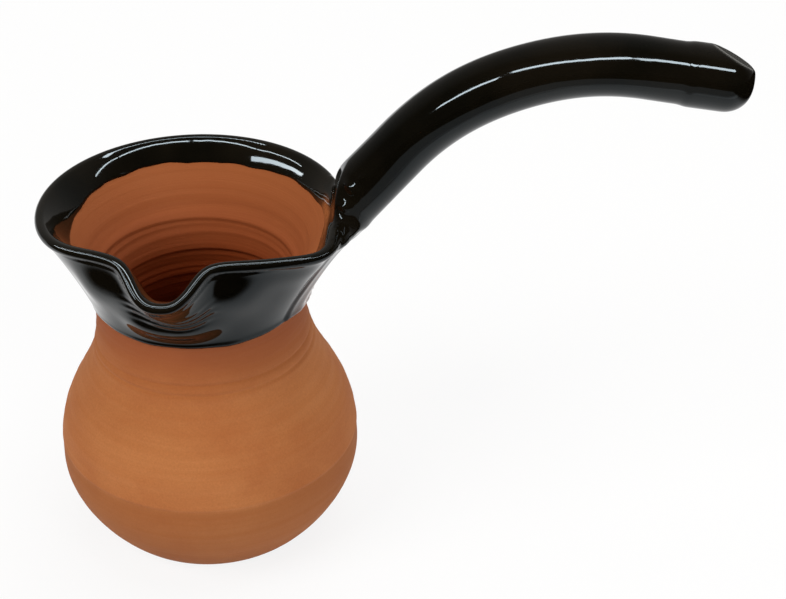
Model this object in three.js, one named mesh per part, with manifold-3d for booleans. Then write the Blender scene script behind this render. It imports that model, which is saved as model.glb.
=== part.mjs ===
// A clay coffee pot, built as a potter builds it: a thrown body with a pinched spout, a solid
// coil for a handle, a wad of clay that lutes the coil to the collar, and two coats of glaze.
// The foot stands on z = 0 round the vertical axis, the handle points along +X and the spout
// faces -Y. Lengths are in millimetres.
import * as THREE from 'three';
import { LoftGeometry } from 'three/addons/geometries/LoftGeometry.js';
import { mergeVertices } from 'three/addons/utils/BufferGeometryUtils.js';
import Module from 'manifold-3d';

const wasm = await Module();
wasm.setup();

const degree = Math.PI / 180;

// Outline of the thrown body
const footRadius = 27.2;
const footFlare = 60 * degree;
const footSpring = 3.5;
const bellyRadius = 40;
const bellyHeight = 22.5;
const underBelly = 9.6;
const overBelly = 24;
const neckRadius = 27;
const neckHeight = 71;
const underNeck = 26.5;
const overNeck = 2;
const rimRadius = 37.3;
const rimHeight = 94;
const rimFlare = 53 * degree;
const rimSpring = 3;
const leanFrom = 55;
const rimLean = -1.4;

// Wall thickness, measured square to the wall
const heelWall = 7;
const bellyWall = 4.4;
const neckWall = 3.9;
const rimWall = 1.7;

// Marks of throwing and trimming
const trimHeight = 28;
const trimDepth = 0.25;
const grooveHeights = [56.4, 58.7];
const grooveDepth = 0.35;
const grooveWidth = 1.3;
const ledgeHeights = [61, 69, 75.5];
const ledgeDepth = 0.55;
const ledgeWidth = 1.6;
const floorNub = 5;
const floorCrown = 0.6;

// Places where fingers moved the collar: turned about the axis, and fading towards the neck
const leftPress = { angle: -121.5 * degree, spread: 24 * degree, outward: -4.5, upward: 2.1 };
const rightPress = { angle: -72.5 * degree, spread: 24 * degree, outward: -5.8, upward: 1.0 };
const spoutPull = { angle: -95.9 * degree, spread: 12.8 * degree, outward: 6.0, upward: -5.4, flatness: 2.8 };
const handleSag = { angle: -30.5 * degree, spread: 12 * degree, outward: 2.7, upward: -1.0 };
const pressFade = 1.4;
const spoutFade = 2.2;
const spoutThinning = 0.2;

// Coil handle: a straight rise, one bend, and a straight end cut with a knife
const coilRadius = 6.85;
const rootDrop = 0.9;
const tailLength = 17;
const tailShare = 0.5;
const riseLength = 23.5;
const riseAngle = 49.4 * degree;
const bendRadius = 65.5;
const droopAngle = 9 * degree;
const endLength = 24.6;
const endRounding = 4.6;
const knobLength = 15.5;
const knobSwell = 0.35;
const knifeReach = 8.1;
const knifeAngle = 22 * degree;
const knifeTwist = 22 * degree;
const buttAngle = 22 * degree;
const buttRounding = 15;
const buttSlack = 0.05;

// Wad of clay that holds the coil on the collar
const wadTopBelowRim = 3.6;
const wadHeight = 19.2;
const wadShoulderShare = 0.88;
const wadFootDepth = 1;
const wadTopDepth = 7.4;
const wadEdge = 0.5;
const wadNearSpread = 33 * degree;
const wadFarSpread = 30 * degree;
const wadTopNearSpread = 29 * degree;
const wadTopFarSpread = 22 * degree;
const wadSweep = 1.8;
const wadFullness = 1.5;
const wadTop = rimHeight - wadTopBelowRim;
const wadFoot = wadTop - wadHeight;

// Glaze
const glazeThickness = 0.55;
const glazeBelowNeck = 1.3;
const glazeLine = neckHeight - glazeBelowNeck;
const glazeDepthInside = 4.9;
const glazeDip = { angle: 188 * degree, spread: 30 * degree, deeper: 3 };
const glazeRise = { angle: -25 * degree, spread: 32 * degree, deeper: -3.4 };

// Clearance between pieces that touch
const seatGap = 0.3;
const fillBelow = 12;

// How finely the round forms are divided
const turns = 56;
const spoutCrowding = 0.45;
const coilSides = 16;
const coilStep = 6.5;

const footCurve = new THREE.CubicBezierCurve(
  new THREE.Vector2(footRadius, 0),
  new THREE.Vector2(footRadius + footSpring * Math.sin(footFlare), footSpring * Math.cos(footFlare)),
  new THREE.Vector2(bellyRadius, bellyHeight - underBelly),
  new THREE.Vector2(bellyRadius, bellyHeight),
);
const shoulderCurve = new THREE.CubicBezierCurve(
  new THREE.Vector2(bellyRadius, bellyHeight),
  new THREE.Vector2(bellyRadius, bellyHeight + overBelly),
  new THREE.Vector2(neckRadius, neckHeight - underNeck),
  new THREE.Vector2(neckRadius, neckHeight),
);
const rimOutward = new THREE.Vector2(Math.cos(rimFlare), -Math.sin(rimFlare));
const collarTop = new THREE.Vector2(rimRadius, rimHeight).addScaledVector(rimOutward, rimWall / 2);
const collarCurve = new THREE.CubicBezierCurve(
  new THREE.Vector2(neckRadius, neckHeight),
  new THREE.Vector2(neckRadius, neckHeight + overNeck),
  new THREE.Vector2(
    collarTop.x - rimSpring * Math.sin(rimFlare),
    collarTop.y - rimSpring * Math.cos(rimFlare),
  ),
  collarTop,
);

// Turns of the lip's round edge at which it faces level outward and straight up
const levelTurn = rimFlare;
const crestTurn = rimFlare + Math.PI / 2;

// Point and outward direction of the outer outline at a height
function outlineAt(height) {
  const curve = [footCurve, shoulderCurve, collarCurve].find((piece) => height <= piece.v3.y) ?? collarCurve;
  let low = 0;
  let high = 1;
  while (high - low > 1e-7) {
    const middle = (low + high) / 2;
    if (curve.getPoint(middle).y < height) low = middle;
    else high = middle;
  }
  const tangent = curve.getTangent(high);
  return { point: curve.getPoint(high), outward: new THREE.Vector2(tangent.y, -tangent.x) };
}

// Bell-shaped share of a local mark, 1 at its angle and fading to either side
function shareAt(angle, { angle: middle, spread, flatness = 2 }) {
  const away = Math.atan2(Math.sin(angle - middle), Math.cos(angle - middle));
  return Math.exp(-(Math.abs(away / spread) ** flatness));
}

// Share of the collar below a height, 0 at the neck and 1 at the rim
function collarShare(height) {
  return THREE.MathUtils.clamp((height - neckHeight) / (rimHeight - neckHeight), 0, 1);
}

// Wall thickness, thinning from the heel to the rim and again where the spout was drawn out
function wallAt(height, angle) {
  if (height < bellyHeight) return THREE.MathUtils.mapLinear(height, 0, bellyHeight, heelWall, bellyWall);
  if (height < neckHeight) {
    return THREE.MathUtils.mapLinear(height, bellyHeight, neckHeight, bellyWall, neckWall);
  }
  const thinned = spoutThinning * shareAt(angle, spoutPull) * collarShare(height) ** spoutFade;
  return THREE.MathUtils.mapLinear(height, neckHeight, collarTop.y, neckWall, rimWall) - thinned;
}

// Puts a point of the outline round the pot, with the presses, the spout and the lean
function placeOnPot(radius, height, angle) {
  const lean = rimLean * THREE.MathUtils.clamp((height - leanFrom) / (rimHeight - leanFrom), 0, 1);
  let reach = radius;
  let level = height;
  for (const mark of [leftPress, rightPress, handleSag, spoutPull]) {
    const fade = mark === spoutPull ? spoutFade : pressFade;
    const strength = shareAt(angle, mark) * collarShare(height) ** fade;
    reach += mark.outward * strength;
    level += mark.upward * strength;
  }
  return new THREE.Vector3(reach * Math.cos(angle) + lean, reach * Math.sin(angle), level);
}

// Middle of the wall at a height of the outline
function middleAt(height, angle) {
  const { point, outward } = outlineAt(height);
  const middle = point.clone().addScaledVector(outward, -wallAt(height, angle) / 2);
  return placeOnPot(middle.x, middle.y, angle);
}

// Frame of the wall: its middle, the direction square to it, and the direction up along it
function wallFrame(height, angle) {
  const angleStep = 0.01;
  const heightStep = 0.05;
  const point = middleAt(height, angle);
  if (height <= neckHeight) {
    const { outward } = outlineAt(height);
    const level = outward.x;
    const out = new THREE.Vector3(level * Math.cos(angle), level * Math.sin(angle), outward.y);
    const up = new THREE.Vector3(-outward.y * Math.cos(angle), -outward.y * Math.sin(angle), level);
    return { point, out, up };
  }
  const around = middleAt(height, angle + angleStep).sub(middleAt(height, angle - angleStep));
  const upper = middleAt(Math.min(height + heightStep, collarTop.y), angle);
  const along = upper.sub(middleAt(height - heightStep, angle));
  const out = around.clone().cross(along).normalize();
  return { point, out, up: out.clone().cross(around).normalize() };
}

function outerPoint(height, angle, grow = 0) {
  const frame = wallFrame(height, angle);
  return frame.point.addScaledVector(frame.out, wallAt(height, angle) / 2 + grow);
}

function innerPoint(height, angle, grow = 0) {
  const frame = wallFrame(height, angle);
  return frame.point.addScaledVector(frame.out, -wallAt(height, angle) / 2 - grow);
}

// Round edge of the lip: turn 0 faces out and a half turn faces in, square to the flared wall
function lipPoint(turn, angle, grow = 0) {
  const frame = wallFrame(collarTop.y, angle);
  const reach = wallAt(collarTop.y, angle) / 2 + grow;
  return frame.point
    .addScaledVector(frame.out, reach * Math.cos(turn))
    .addScaledVector(frame.up, reach * Math.sin(turn));
}

// Angles round the pot, crowded at the spout
function turnAngles() {
  return Array.from({ length: turns }, (_, index) => {
    const turn = (2 * Math.PI * index) / turns;
    return spoutPull.angle + turn - spoutCrowding * Math.sin(turn);
  });
}

// Heights of the rings up the collar, closer where it bends, and shared by all that seats there
function collarHeights() {
  return [0, 0.07, 0.22, 0.45, 0.68, 0.86, 0.95, 1]
    .map((share) => THREE.MathUtils.lerp(neckHeight, collarTop.y, share));
}

function spaced(from, to, count) {
  return Array.from({ length: count }, (_, index) => from + ((to - from) * index) / (count - 1));
}

function solidFrom(shape) {
  const geometry = new THREE.BufferGeometry().setIndex(shape.index);
  geometry.setAttribute('position', shape.attributes.position);
  const merged = mergeVertices(geometry, 1e-4);
  return new wasm.Manifold(new wasm.Mesh({
    numProp: 3,
    vertProperties: new Float32Array(merged.attributes.position.array),
    triVerts: new Uint32Array(merged.index.array),
  }));
}

function loftSolid(sections) {
  return solidFrom(new LoftGeometry(sections, { capStart: true, capEnd: true }));
}

function geometryFrom(solid) {
  const mesh = solid.getMesh();
  const geometry = new THREE.BufferGeometry();
  geometry.setAttribute('position', new THREE.BufferAttribute(mesh.vertProperties, mesh.numProp));
  geometry.setIndex(new THREE.BufferAttribute(mesh.triVerts, 1));
  return geometry;
}

// Thrown body: up the outside, over the lip and down the inside to the floor
function potBody() {
  const angles = turnAngles();
  const ring = (pointAt) => angles.map(pointAt);
  const sections = [];
  const outerRow = (height, grow = 0) => sections.push(ring((angle) => outerPoint(height, angle, grow)));
  const innerRow = (height, grow = 0) => sections.push(ring((angle) => innerPoint(height, angle, grow)));

  for (const share of [0, 0.09, 0.29, 0.54, 0.79]) outerRow(share * trimHeight, -share * trimDepth);
  outerRow(trimHeight - trimDepth, -trimDepth);
  outerRow(trimHeight + trimDepth);
  for (const height of spaced(trimHeight + 6, grooveHeights[0] - 4, 4)) outerRow(height);
  for (const height of grooveHeights) {
    outerRow(height - grooveWidth / 2);
    outerRow(height, -grooveDepth);
    outerRow(height + grooveWidth / 2);
  }
  for (const height of spaced(grooveHeights[1] + 4, neckHeight, 3).slice(0, -1)) outerRow(height);
  for (const height of collarHeights().slice(0, -1)) outerRow(height);
  for (const turn of spaced(0, Math.PI, 6)) sections.push(ring((angle) => lipPoint(turn, angle)));
  const highestLedge = ledgeHeights.at(-1) + ledgeWidth;
  const aboveLedges = collarHeights().filter((height) => height > highestLedge && height < collarTop.y);
  for (const height of aboveLedges.toReversed()) innerRow(height);
  for (const height of ledgeHeights.toReversed()) {
    innerRow(height + ledgeWidth / 2);
    innerRow(height, ledgeDepth);
    innerRow(height - ledgeWidth / 2);
  }
  for (const share of [0.85, 0.69, 0.52, 0.36, 0.21, 0.1, 0.03, 0]) innerRow(share * ledgeHeights[0]);
  const floor = innerPoint(0, 0);
  sections.push(ring((angle) => new THREE.Vector3(
    floorNub * Math.cos(angle),
    floorNub * Math.sin(angle),
    floor.z + floorCrown,
  )));
  return loftSolid(sections);
}

// Steps outward and up, from the lip, of the face that ends the coil above the rim. It stands
// upright and then bends over to run along the top of the coil.
function buttSteps(grow) {
  const foot = lipPoint(levelTurn + buttAngle, 0);
  const root = coilRoot();
  const bend = Math.PI / 2 - riseAngle;
  const rounding = buttRounding + grow;
  const coilTop = (coilRadius + grow + buttSlack) / Math.cos(riseAngle);
  const crossing = root.z + coilTop + (foot.x - grow - root.x) * Math.tan(riseAngle);
  const bendRise = crossing - rounding * Math.tan(bend / 2) - foot.z;
  const steps = [{ outward: -grow, rise: buttSlack }];
  for (const turn of spaced(0, bend, 4)) {
    steps.push({
      outward: rounding * (1 - Math.cos(turn)) - grow,
      rise: bendRise + rounding * Math.sin(turn),
    });
  }
  const last = steps.at(-1);
  steps.push({
    outward: last.outward + 2 * coilRadius * Math.cos(riseAngle),
    rise: last.rise + 2 * coilRadius * Math.sin(riseAngle),
  });
  return steps;
}

// The pot with its inside filled, for cutting what seats against it. With a grown face it rises
// above the lip as the rounded end of the coil, and otherwise it closes at the lip.
function filledPot(reachAt, lipGrow, faceGrow) {
  const angles = turnAngles();
  const sections = [wadFoot - fillBelow, wadFoot - fillBelow / 2, ...collarHeights()]
    .map((height) => angles.map((angle) => reachAt(height, angle)));
  const lastTurn = faceGrow === undefined ? crestTurn : levelTurn + buttAngle;
  for (const turn of spaced(0, lastTurn, 5).slice(1)) {
    sections.push(angles.map((angle) => lipPoint(turn, angle, lipGrow)));
  }
  for (const step of faceGrow === undefined ? [] : buttSteps(faceGrow)) {
    sections.push(angles.map((angle) => {
      const outward = new THREE.Vector3(Math.cos(angle), Math.sin(angle), 0);
      const point = lipPoint(levelTurn + buttAngle, angle).addScaledVector(outward, step.outward);
      return point.setZ(point.z + Math.max(lipGrow, 0) + step.rise);
    }));
  }
  return loftSolid(sections);
}

// Point of the coil's centre line straight under the centre of the lip
function coilRoot() {
  const lip = middleAt(collarTop.y, 0);
  return lip.setZ(lip.z - rootDrop);
}

// Centre line of the coil in the plane of x and z
function coilPath() {
  const root = coilRoot();
  const direction = new THREE.Vector2(Math.cos(riseAngle), Math.sin(riseAngle));
  const start = new THREE.Vector2(root.x, root.z).addScaledVector(direction, -tailLength);
  const bendStart = new THREE.Vector2(root.x, root.z).addScaledVector(direction, riseLength);
  const centre = bendStart.clone().addScaledVector(new THREE.Vector2(direction.y, -direction.x), bendRadius);
  const path = new THREE.Path();
  path.moveTo(start.x, start.y);
  path.lineTo(bendStart.x, bendStart.y);
  path.absarc(centre.x, centre.y, bendRadius, Math.PI / 2 + riseAngle, Math.PI / 2 - droopAngle, true);
  const bendEnd = path.currentPoint;
  path.lineTo(
    bendEnd.x + endLength * Math.cos(droopAngle),
    bendEnd.y - endLength * Math.sin(droopAngle),
  );
  return path;
}

// The coil as a solid: a tapered tail down the collar, a knob with a rounded edge at its end,
// and a slice taken off by a knife
function coilSolid(grow) {
  const path = coilPath();
  const length = path.getLength();
  const straightEnd = length - endRounding;
  const sectionAt = (distance, radius, beyond = 0) => {
    const share = Math.min(distance / length, 1);
    const centre = path.getPointAt(share);
    const tangent = path.getTangentAt(share);
    centre.addScaledVector(tangent, beyond);
    return Array.from({ length: coilSides }, (_, index) => {
      const turn = (2 * Math.PI * index) / coilSides;
      return new THREE.Vector3(
        centre.x - tangent.y * radius * Math.cos(turn),
        -radius * Math.sin(turn),
        centre.y + tangent.x * radius * Math.cos(turn),
      );
    });
  };
  const radiusAt = (distance) => {
    const tail = THREE.MathUtils.smoothstep(distance, 0, tailLength);
    const knob = THREE.MathUtils.smoothstep(distance, length - knobLength, length - knobLength + 3);
    return coilRadius * THREE.MathUtils.lerp(tailShare, 1, tail) + knobSwell * knob + grow;
  };
  const sections = spaced(0, straightEnd, Math.round(straightEnd / coilStep))
    .map((distance) => sectionAt(distance, radiusAt(distance)));
  for (const turn of spaced(0, Math.PI / 2, 4).slice(1)) {
    const inset = endRounding * (1 - Math.cos(turn));
    const distance = straightEnd + endRounding * Math.sin(turn);
    sections.push(sectionAt(distance, radiusAt(distance) - inset, grow * Math.sin(turn)));
  }
  const end = path.getPointAt(1);
  const knifeWidth = 8 * coilRadius;
  const knifeDepth = 3 * coilRadius;
  const knife = new THREE.BoxGeometry(knifeWidth, knifeWidth, knifeDepth);
  knife.translate(0, 0, knifeDepth / 2 + grow);
  knife.rotateY(droopAngle + knifeAngle);
  knife.rotateX(-knifeTwist);
  knife.translate(
    end.x - knifeReach * Math.cos(droopAngle),
    0,
    end.y + knifeReach * Math.sin(droopAngle) + (coilRadius + knobSwell) / Math.cos(droopAngle),
  );
  return loftSolid(sections).subtract(solidFrom(knife));
}

// The wad as a patch on the collar: deepest under the coil, and dragged to the near side
function wadSolid(grow, seat) {
  const shares = [0, 0.05, 0.15, 0.3, 0.5, 0.7, wadShoulderShare, 0.95, 1];
  const columns = spaced(-1, 1, 13);
  const sections = shares.map((share) => {
    const beyond = share === 0 ? -grow : share === 1 ? grow : 0;
    const height = THREE.MathUtils.lerp(wadFoot, wadTop, share) + beyond;
    const rounding = Math.max(0, (share - wadShoulderShare) / (1 - wadShoulderShare));
    const fullDepth = THREE.MathUtils.lerp(wadFootDepth, wadTopDepth, share ** wadSweep);
    const depth = fullDepth * Math.sqrt(1 - rounding ** 2);
    const angleAt = (side) => {
      const spread = side < 0
        ? THREE.MathUtils.lerp(wadNearSpread, wadTopNearSpread, share)
        : THREE.MathUtils.lerp(wadFarSpread, wadTopFarSpread, share);
      return side * (spread + grow / neckRadius);
    };
    const outside = columns.map((side) => {
      const angle = angleAt(side);
      const outward = new THREE.Vector3(Math.cos(angle), Math.sin(angle), 0);
      const swell = wadEdge + depth * Math.cos((side * Math.PI) / 2) ** wadFullness;
      return outerPoint(height, angle, seatGap).addScaledVector(outward, swell + grow);
    });
    const inside = columns.map((side) => outerPoint(height, angleAt(side), seat));
    return [...outside, ...inside.toReversed()];
  });
  return loftSolid(sections);
}

// The whole handle with its wad, grown by a coat
function handleForm(grow) {
  const buried = -neckWall / 2;
  const core = filledPot((height, angle) => outerPoint(height, angle, buried), -rimWall / 4, grow);
  return coilSolid(grow).add(wadSolid(grow, buried)).subtract(core);
}

// Coat on the collar: a thin shell from the glaze line, over the lip and down the inside
function collarCoat(gap, thickness) {
  const sections = [];
  const angles = turnAngles();
  for (const angle of [...angles, angles[0]]) {
    const depth = glazeDepthInside
      + glazeDip.deeper * shareAt(angle, glazeDip)
      + glazeRise.deeper * shareAt(angle, glazeRise);
    const outside = [glazeLine, ...collarHeights().slice(0, -1)];
    const inside = spaced(collarTop.y, collarTop.y - depth, 3).slice(1);
    const side = (grow) => [
      ...outside.map((height) => outerPoint(height, angle, grow)),
      ...spaced(0, Math.PI, 6).map((turn) => lipPoint(turn, angle, grow)),
      ...inside.map((height) => innerPoint(height, angle, grow)),
    ];
    sections.push([...side(gap), ...side(gap + thickness).toReversed()]);
  }
  return solidFrom(new LoftGeometry(sections));
}

const clayMaterial = (color) => new THREE.MeshStandardMaterial({ color, roughness: 0.85 });
const glazeMaterial = () => new THREE.MeshStandardMaterial({ color: 0x1d1411, roughness: 0.12 });

function pieceMesh(name, solid, material) {
  const mesh = new THREE.Mesh(geometryFrom(solid), material);
  mesh.name = name;
  return mesh;
}

const coatReach = seatGap + glazeThickness;
const seatedPot = filledPot((height, angle) => outerPoint(height, angle, seatGap), seatGap, 0);
const closedPot = filledPot((height, angle) => outerPoint(height, angle, seatGap), seatGap);

const body = potBody();
const coil = coilSolid(0).subtract(seatedPot);
const wad = wadSolid(0, seatGap).subtract(coilSolid(seatGap)).subtract(closedPot);
const handleCoat = handleForm(coatReach).subtract(handleForm(seatGap)).subtract(closedPot);
const collarGlaze = collarCoat(seatGap, glazeThickness).subtract(handleForm(coatReach + seatGap));

const pot = new THREE.Group();
pot.add(
  pieceMesh('pot_body', body, clayMaterial(0xb9683c)),
  pieceMesh('handle', coil, clayMaterial(0xb0623a)),
  pieceMesh('handle_luting', wad, clayMaterial(0xa85c36)),
  pieceMesh('collar_glaze', collarGlaze, glazeMaterial()),
  pieceMesh('handle_glaze', handleCoat, glazeMaterial()),
);

export default pot;
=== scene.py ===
import math
from collections import namedtuple

import bpy
import numpy as np
from mathutils import Matrix, Vector
from mathutils.bvhtree import BVHTree
from mathutils.interpolate import poly_3d_calc


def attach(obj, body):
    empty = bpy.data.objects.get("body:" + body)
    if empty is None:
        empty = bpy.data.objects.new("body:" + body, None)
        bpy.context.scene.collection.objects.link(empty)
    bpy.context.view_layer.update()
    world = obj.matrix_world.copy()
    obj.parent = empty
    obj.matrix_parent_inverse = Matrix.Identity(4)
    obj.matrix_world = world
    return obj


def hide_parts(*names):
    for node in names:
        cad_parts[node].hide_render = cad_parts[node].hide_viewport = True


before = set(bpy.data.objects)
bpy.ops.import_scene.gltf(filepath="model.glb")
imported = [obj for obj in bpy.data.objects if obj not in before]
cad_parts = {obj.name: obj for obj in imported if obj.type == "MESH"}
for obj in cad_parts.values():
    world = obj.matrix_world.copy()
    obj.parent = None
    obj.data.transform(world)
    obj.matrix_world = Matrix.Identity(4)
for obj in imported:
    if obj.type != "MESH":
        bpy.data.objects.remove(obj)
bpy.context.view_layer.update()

# Sizes are in millimetres, as in the part, and are turned to metres when a mesh is made.
# Lamps, the camera, bumps and the edges of the sheet of painted shade are in metres, and noise scales are
# per metre.
MM = 0.001
DEG = math.pi / 180

# The profile of the pot from its foot to its lip, and the thickness of its wall
FOOT_RADIUS, FOOT_FLARE, FOOT_SPRING = 27.2, 60 * DEG, 3.5
BELLY_RADIUS, BELLY_HEIGHT, UNDER_BELLY, OVER_BELLY = 40, 22.5, 9.6, 24
NECK_RADIUS, NECK_HEIGHT, UNDER_NECK, OVER_NECK = 27, 71, 26.5, 2
RIM_RADIUS, RIM_HEIGHT, RIM_FLARE, RIM_SPRING = 37.3, 94, 53 * DEG, 3
LEAN_FROM, RIM_LEAN = 55, -1.4
HEEL_WALL, BELLY_WALL, NECK_WALL, RIM_WALL = 7, 4.4, 3.9, 1.7

# What the wheel left: the trimmed heel, grooves outside, ledges inside and a nub on the floor
FOOT_EDGE, FOOT_EDGE_DEPTH = 0.8, 0.55
TRIM_HEIGHT, TRIM_DEPTH, TRIM_STEP = 28, 0.25, 0.45
GROOVES, GROOVE_DEPTH, GROOVE_HALF = (56.4, 58.7), 0.35, 0.42
BURR, BURR_RISE, BURR_HALF = 0.12, 0.95, 0.5
LEDGES, LEDGE_DEPTH, LEDGE_ABOVE, LEDGE_BELOW = (61, 69, 75.5), 0.55, 1.5, 0.45
FINE_LEDGES = (
    (73.6, 0.2), (71.9, 0.3), (70.4, 0.18), (66.9, 0.26), (65.1, 0.2), (63.2, 0.3), (58.8, 0.25),
)
FINE_ABOVE, FINE_BELOW = 0.75, 0.3
FLOOR_NUB, FLOOR_CROWN = 5, 0.6
RINGS_OUTSIDE, RINGS_INSIDE = 0.045, 0.07

# Where fingers moved the collar, how far, how flat the top of the move is, and its fade to the neck
Press = namedtuple("Press", "angle spread outward upward flatness fade")
LEFT_PRESS = Press(-121.5 * DEG, 24 * DEG, -4.5, 2.1, 2, 1.4)
RIGHT_PRESS = Press(-72.5 * DEG, 24 * DEG, -5.8, 1.0, 2, 1.4)
HANDLE_SAG = Press(-30.5 * DEG, 12 * DEG, 2.7, -1.0, 2, 1.4)
SPOUT_PULL = Press(-95.9 * DEG, 12.8 * DEG, 6.0, -5.4, 2.8, 2.2)
SPOUT_THINNING = 0.2

# The coil: a tail down the collar, a straight rise, one bend, a drooping end and a knob
COIL_RADIUS, ROOT_DROP, TAIL_LENGTH, TAIL_SHARE = 6.85, 0.9, 17, 0.5
RISE_LENGTH, RISE_ANGLE, BEND_RADIUS = 23.5, 49.4 * DEG, 65.5
DROOP_ANGLE, END_LENGTH, END_ROUNDING = 9 * DEG, 24.6, 5.6
KNOB_LENGTH, KNOB_SWELL, KNOB_STEP = 15.5, 0.35, (-0.8, 0.9)
KNIFE_REACH, KNIFE_ANGLE, KNIFE_TWIST = 9.0, 22 * DEG, 11 * DEG
BUTT_ANGLE, BUTT_ROUNDING, BUTT_SLACK = 75 * DEG, 15, 0.05

# The wad under the coil, wider at its foot and deeper at its top
WAD_FOOT, WAD_TOP, WAD_SHOULDER = 71.2, 94, 0.86
WAD_FOOT_DEPTH, WAD_TOP_DEPTH, WAD_EDGE = 1, 9.2, 0.5
WAD_NEAR, WAD_FAR, WAD_TOP_NEAR, WAD_TOP_FAR = 33 * DEG, 30 * DEG, 23 * DEG, 22 * DEG
WAD_SWEEP, WAD_FULLNESS, WAD_SEAT = 2.3, 1.4, 0.3

# The glaze: its thickness, its lower line, its depth inside the lip and where that changes
COAT, THIN_COAT, BURIED = 0.85, 0.4, 1.4
GLAZE_LINE, GLAZE_INSIDE = 69.7, 4.9
GLAZE_CHANGES = ((188 * DEG, 30 * DEG, 3), (-25 * DEG, 32 * DEG, -3.4))
BEAD = ((0.0, -0.5), (0.05, -0.1), (0.12, 0.25), (0.3, 0.6), (0.6, 0.86), (1.0, 0.95), (1.6, 0.9))
INNER_EDGE = ((0.25, 0.4), (0.5, 0.4), (0.7, 0.38), (0.84, 0.34), (0.93, 0.24), (0.98, 0.1), (1.0, -0.5))

# How the glaze is run together: the corners it fills, the grain of each skin and its smoothing
CORNER_FILL, COARSE_GRAIN, FINE_GRAIN, SKIN_GRAIN, SMOOTHING_ROUNDS = 2.8, 0.5, 0.45, 0.42, 7

# How deep in the clay glaze is left out, and how near the collar or the handle counts as on it
DEEP, DEEP_REACH, COLLAR_REACH, HANDLE_REACH, HANDLE_FADE = 0.45, 2.6, 0.3, 4, (0.5, 2.5)

# The stretch of the lip that is joined to the coil, and how far its skin stands off the clay
LIP_PART_FROM, LIP_PART_TO, LIP_PART_DOWN = -46 * DEG, 40 * DEG, 3.5
LIP_PART_OUTSIDE, LIP_PART_OVER, LIP_PART_INSIDE = COAT - 0.12, THIN_COAT - 0.1, 0.1

# Rolls in the wall that fingers left at the spout: height, half height, angle, spread, swell
COLLAR_ROLLS = (
    (85.0, 6.8, -125 * DEG, 18 * DEG, 1.9),
    (85.7, 6.7, -77 * DEG, 23 * DEG, 2.0),
    (89.0, 3.5, -42 * DEG, 16 * DEG, 0.25),
    (77.3, 3.4, -97 * DEG, 23 * DEG, 1.45),
)
RIPPLE, RIPPLE_PITCH, RIPPLE_HEIGHT, RIPPLE_HALF = 0.2, 2.3, 83.5, 3.6
RIPPLE_ANGLE, RIPPLE_SPREAD = -96 * DEG, 17 * DEG
BROAD = 4

# Dabs of clay at the coil's root: distance along it, turn round it, half length, half width, height
DABS = (
    (10.0, 0.93, 1.1, 1.8, 0.78), (5.2, 1.25, 1.25, 1.4, 0.85), (0.8, 1.66, 1.7, 1.1, 0.95),
    (13.9, 1.0, 1.5, 0.6, 0.3),
)

# Glaze that gathered at the coil's end, where the glaze in the lip is thin, and where the cut is, on which
# a pale reflection is painted
POOL_SPREAD, POOL_SIZE, POOL_ENDS, POOL_OUT, POOL_RISE = 17 * DEG, 1.5, 0.2, 0.3, 0.7
AMBER_ANGLE, AMBER_SPREAD, AMBER_INSIDE, AMBER_BELOW = -7 * DEG, 19 * DEG, (2.4, 3.8), (-1.2, -0.2)
CUT_EDGE, CUT_FROM = (0.06, 0.3), (110, 114)


# The form of the pot

def bezier(a, b, c, d, count=240):
    """Points of a curve and its directions."""
    t = np.linspace(0, 1, count)[:, None]
    a, b, c, d = (np.array(p, float) for p in (a, b, c, d))
    point = a * (1 - t) ** 3 + 3 * b * t * (1 - t) ** 2 + 3 * c * t ** 2 * (1 - t) + d * t ** 3
    along = 3 * ((b - a) * (1 - t) ** 2 + 2 * (c - b) * t * (1 - t) + (d - c) * t ** 2)
    return point, along / np.linalg.norm(along, axis=1)[:, None]


def profile():
    """The outside of the wall, from the foot to the lip, as points and directions."""
    lip_out = np.array((math.cos(RIM_FLARE), -math.sin(RIM_FLARE)))
    lip_top = np.array((RIM_RADIUS, RIM_HEIGHT)) + lip_out * RIM_WALL / 2
    foot_rise = np.array((math.sin(FOOT_FLARE), math.cos(FOOT_FLARE))) * FOOT_SPRING
    rim_rise = np.array((math.sin(RIM_FLARE), math.cos(RIM_FLARE))) * RIM_SPRING
    foot, belly, neck = (FOOT_RADIUS, 0), (BELLY_RADIUS, BELLY_HEIGHT), (NECK_RADIUS, NECK_HEIGHT)
    over_belly = (BELLY_RADIUS, BELLY_HEIGHT + OVER_BELLY)
    under_neck = (NECK_RADIUS, NECK_HEIGHT - UNDER_NECK)
    curves = (
        bezier(foot, foot + foot_rise, (BELLY_RADIUS, BELLY_HEIGHT - UNDER_BELLY), belly),
        bezier(belly, over_belly, under_neck, neck),
        bezier(neck, (NECK_RADIUS, NECK_HEIGHT + OVER_NECK), lip_top - rim_rise, lip_top),
    )
    return [np.vstack(parts) for parts in zip(*curves)]


LINE, ALONG = profile()
TOP = LINE[-1, 1]


def outline(height):
    """Radius of the outside at a height, and the outward direction there."""
    return [np.interp(height, LINE[:, 1], column) for column in (LINE[:, 0], ALONG[:, 1], -ALONG[:, 0])]


def share(angle, middle, spread, flatness=2):
    away = np.arctan2(np.sin(angle - middle), np.cos(angle - middle))
    return np.exp(-np.abs(away / spread) ** flatness)


def press_share(press, height, angle):
    up_the_collar = np.clip((height - NECK_HEIGHT) / (RIM_HEIGHT - NECK_HEIGHT), 0, 1)
    return share(angle, press.angle, press.spread, press.flatness) * up_the_collar ** press.fade


def wall_at(height, angle):
    plain = np.interp(
        height, [0, BELLY_HEIGHT, NECK_HEIGHT, TOP], [HEEL_WALL, BELLY_WALL, NECK_WALL, RIM_WALL])
    return plain - SPOUT_THINNING * press_share(SPOUT_PULL, height, angle)


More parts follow.
